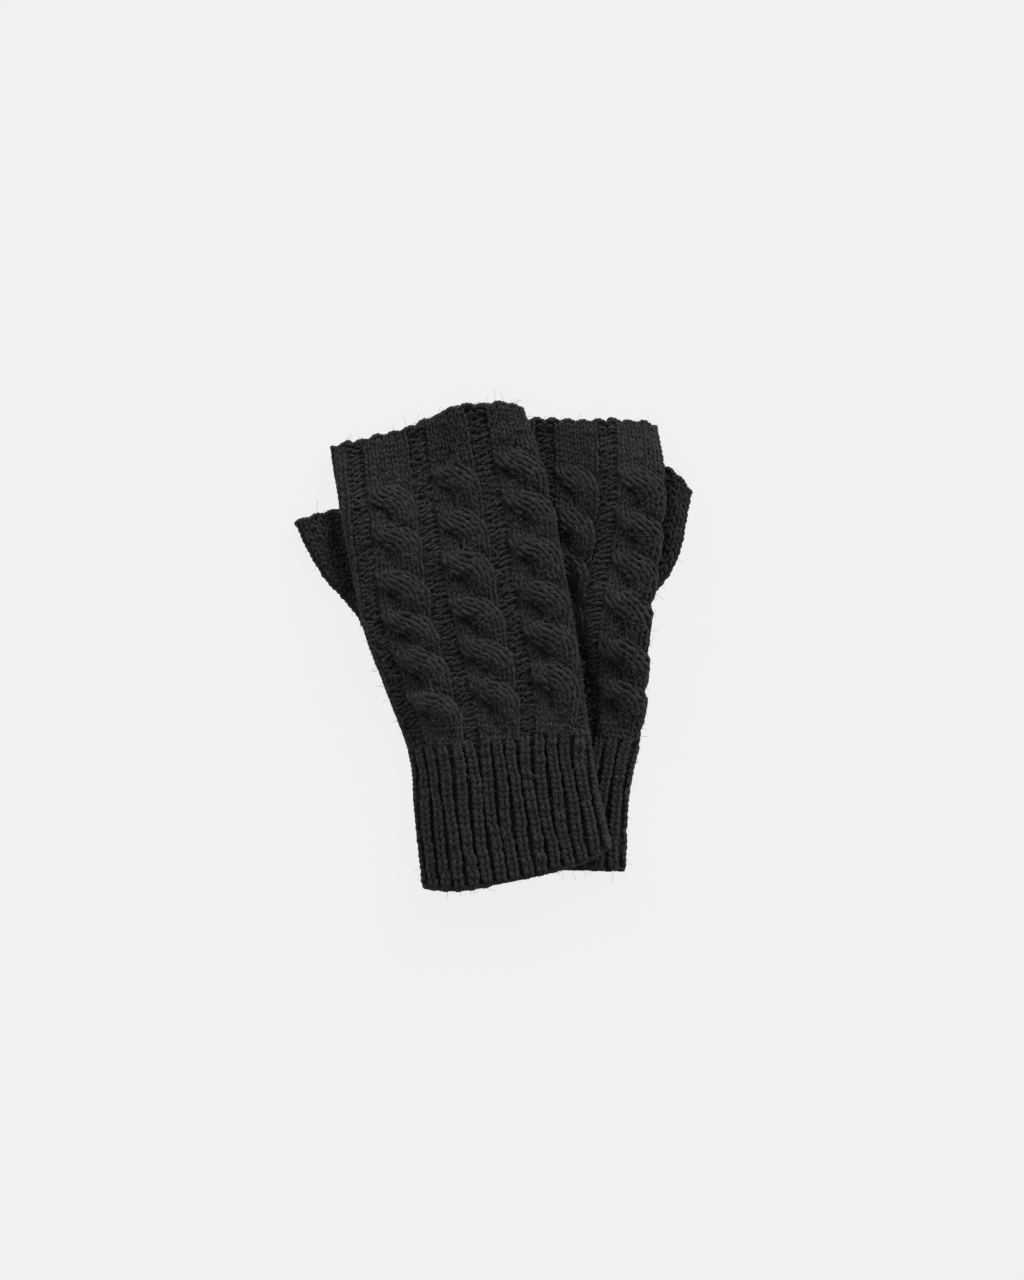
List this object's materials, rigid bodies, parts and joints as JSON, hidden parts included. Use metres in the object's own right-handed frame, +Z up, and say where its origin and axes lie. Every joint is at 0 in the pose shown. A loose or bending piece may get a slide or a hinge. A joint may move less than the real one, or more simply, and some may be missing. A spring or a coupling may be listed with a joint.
{
  "type": "fingerless gloves",
  "caption": "Pair of cable-knit fingerless gloves with long rib cuffs and open thumb sleeves, lying fanned and palm down.",
  "frame": {"origin": "centre of the pair's outline, on the surface that it lies on", "axes": "+X to the wearer's right across the backs of the gloves, +Y from the cuffs to the fingers, +Z up, away from the surface"},
  "size_m": [0.1685, 0.2081, 0.0187],
  "materials": {
    "cable_knit": "charcoal wool blend, cable stitch with purl gutters, soft fuzzy surface",
    "plain_knit": "charcoal wool blend, plain stockinette, soft fuzzy surface",
    "rib_knit": "charcoal wool blend, 1x1 rib with deep grooves, soft fuzzy surface",
    "edge_knit": "charcoal wool blend, bound-off and cast-on chain edges"
  },
  "bodies": {
    "left_glove": {"left_rib_cuff": "rib_knit", "left_cast_on_edge": "edge_knit", "left_cable_back": "cable_knit", "left_plain_palm": "plain_knit", "left_finger_bind_off": "edge_knit", "left_side_seam": "edge_knit"},
    "left_thumb": {"left_thumb_sleeve": "plain_knit", "left_thumb_bind_off": "edge_knit"},
    "right_glove": {"right_rib_cuff": "rib_knit", "right_cast_on_edge": "edge_knit", "right_cable_back": "cable_knit", "right_plain_palm": "plain_knit", "right_finger_bind_off": "edge_knit", "right_side_seam": "edge_knit"},
    "right_thumb": {"right_thumb_sleeve": "plain_knit", "right_thumb_bind_off": "edge_knit"}
  },
  "joints": [
    {"name": "right_glove_lift", "type": "slide", "parent": "left_glove", "child": "right_glove", "axis": [0, 0, 1], "range_m": [0, 0.12]},
    {"name": "left_thumb_swing", "type": "hinge", "parent": "left_glove", "child": "left_thumb", "pos_m": [0.066, 0.013, 0.0037], "axis": [0, 0, -1], "range_deg": [0, 20]},
    {"name": "right_thumb_swing", "type": "hinge", "parent": "right_glove", "child": "right_thumb", "pos_m": [-0.0565, 0.0125, 0.0037], "axis": [0, 0, 1], "range_deg": [0, 20]}
  ]
}
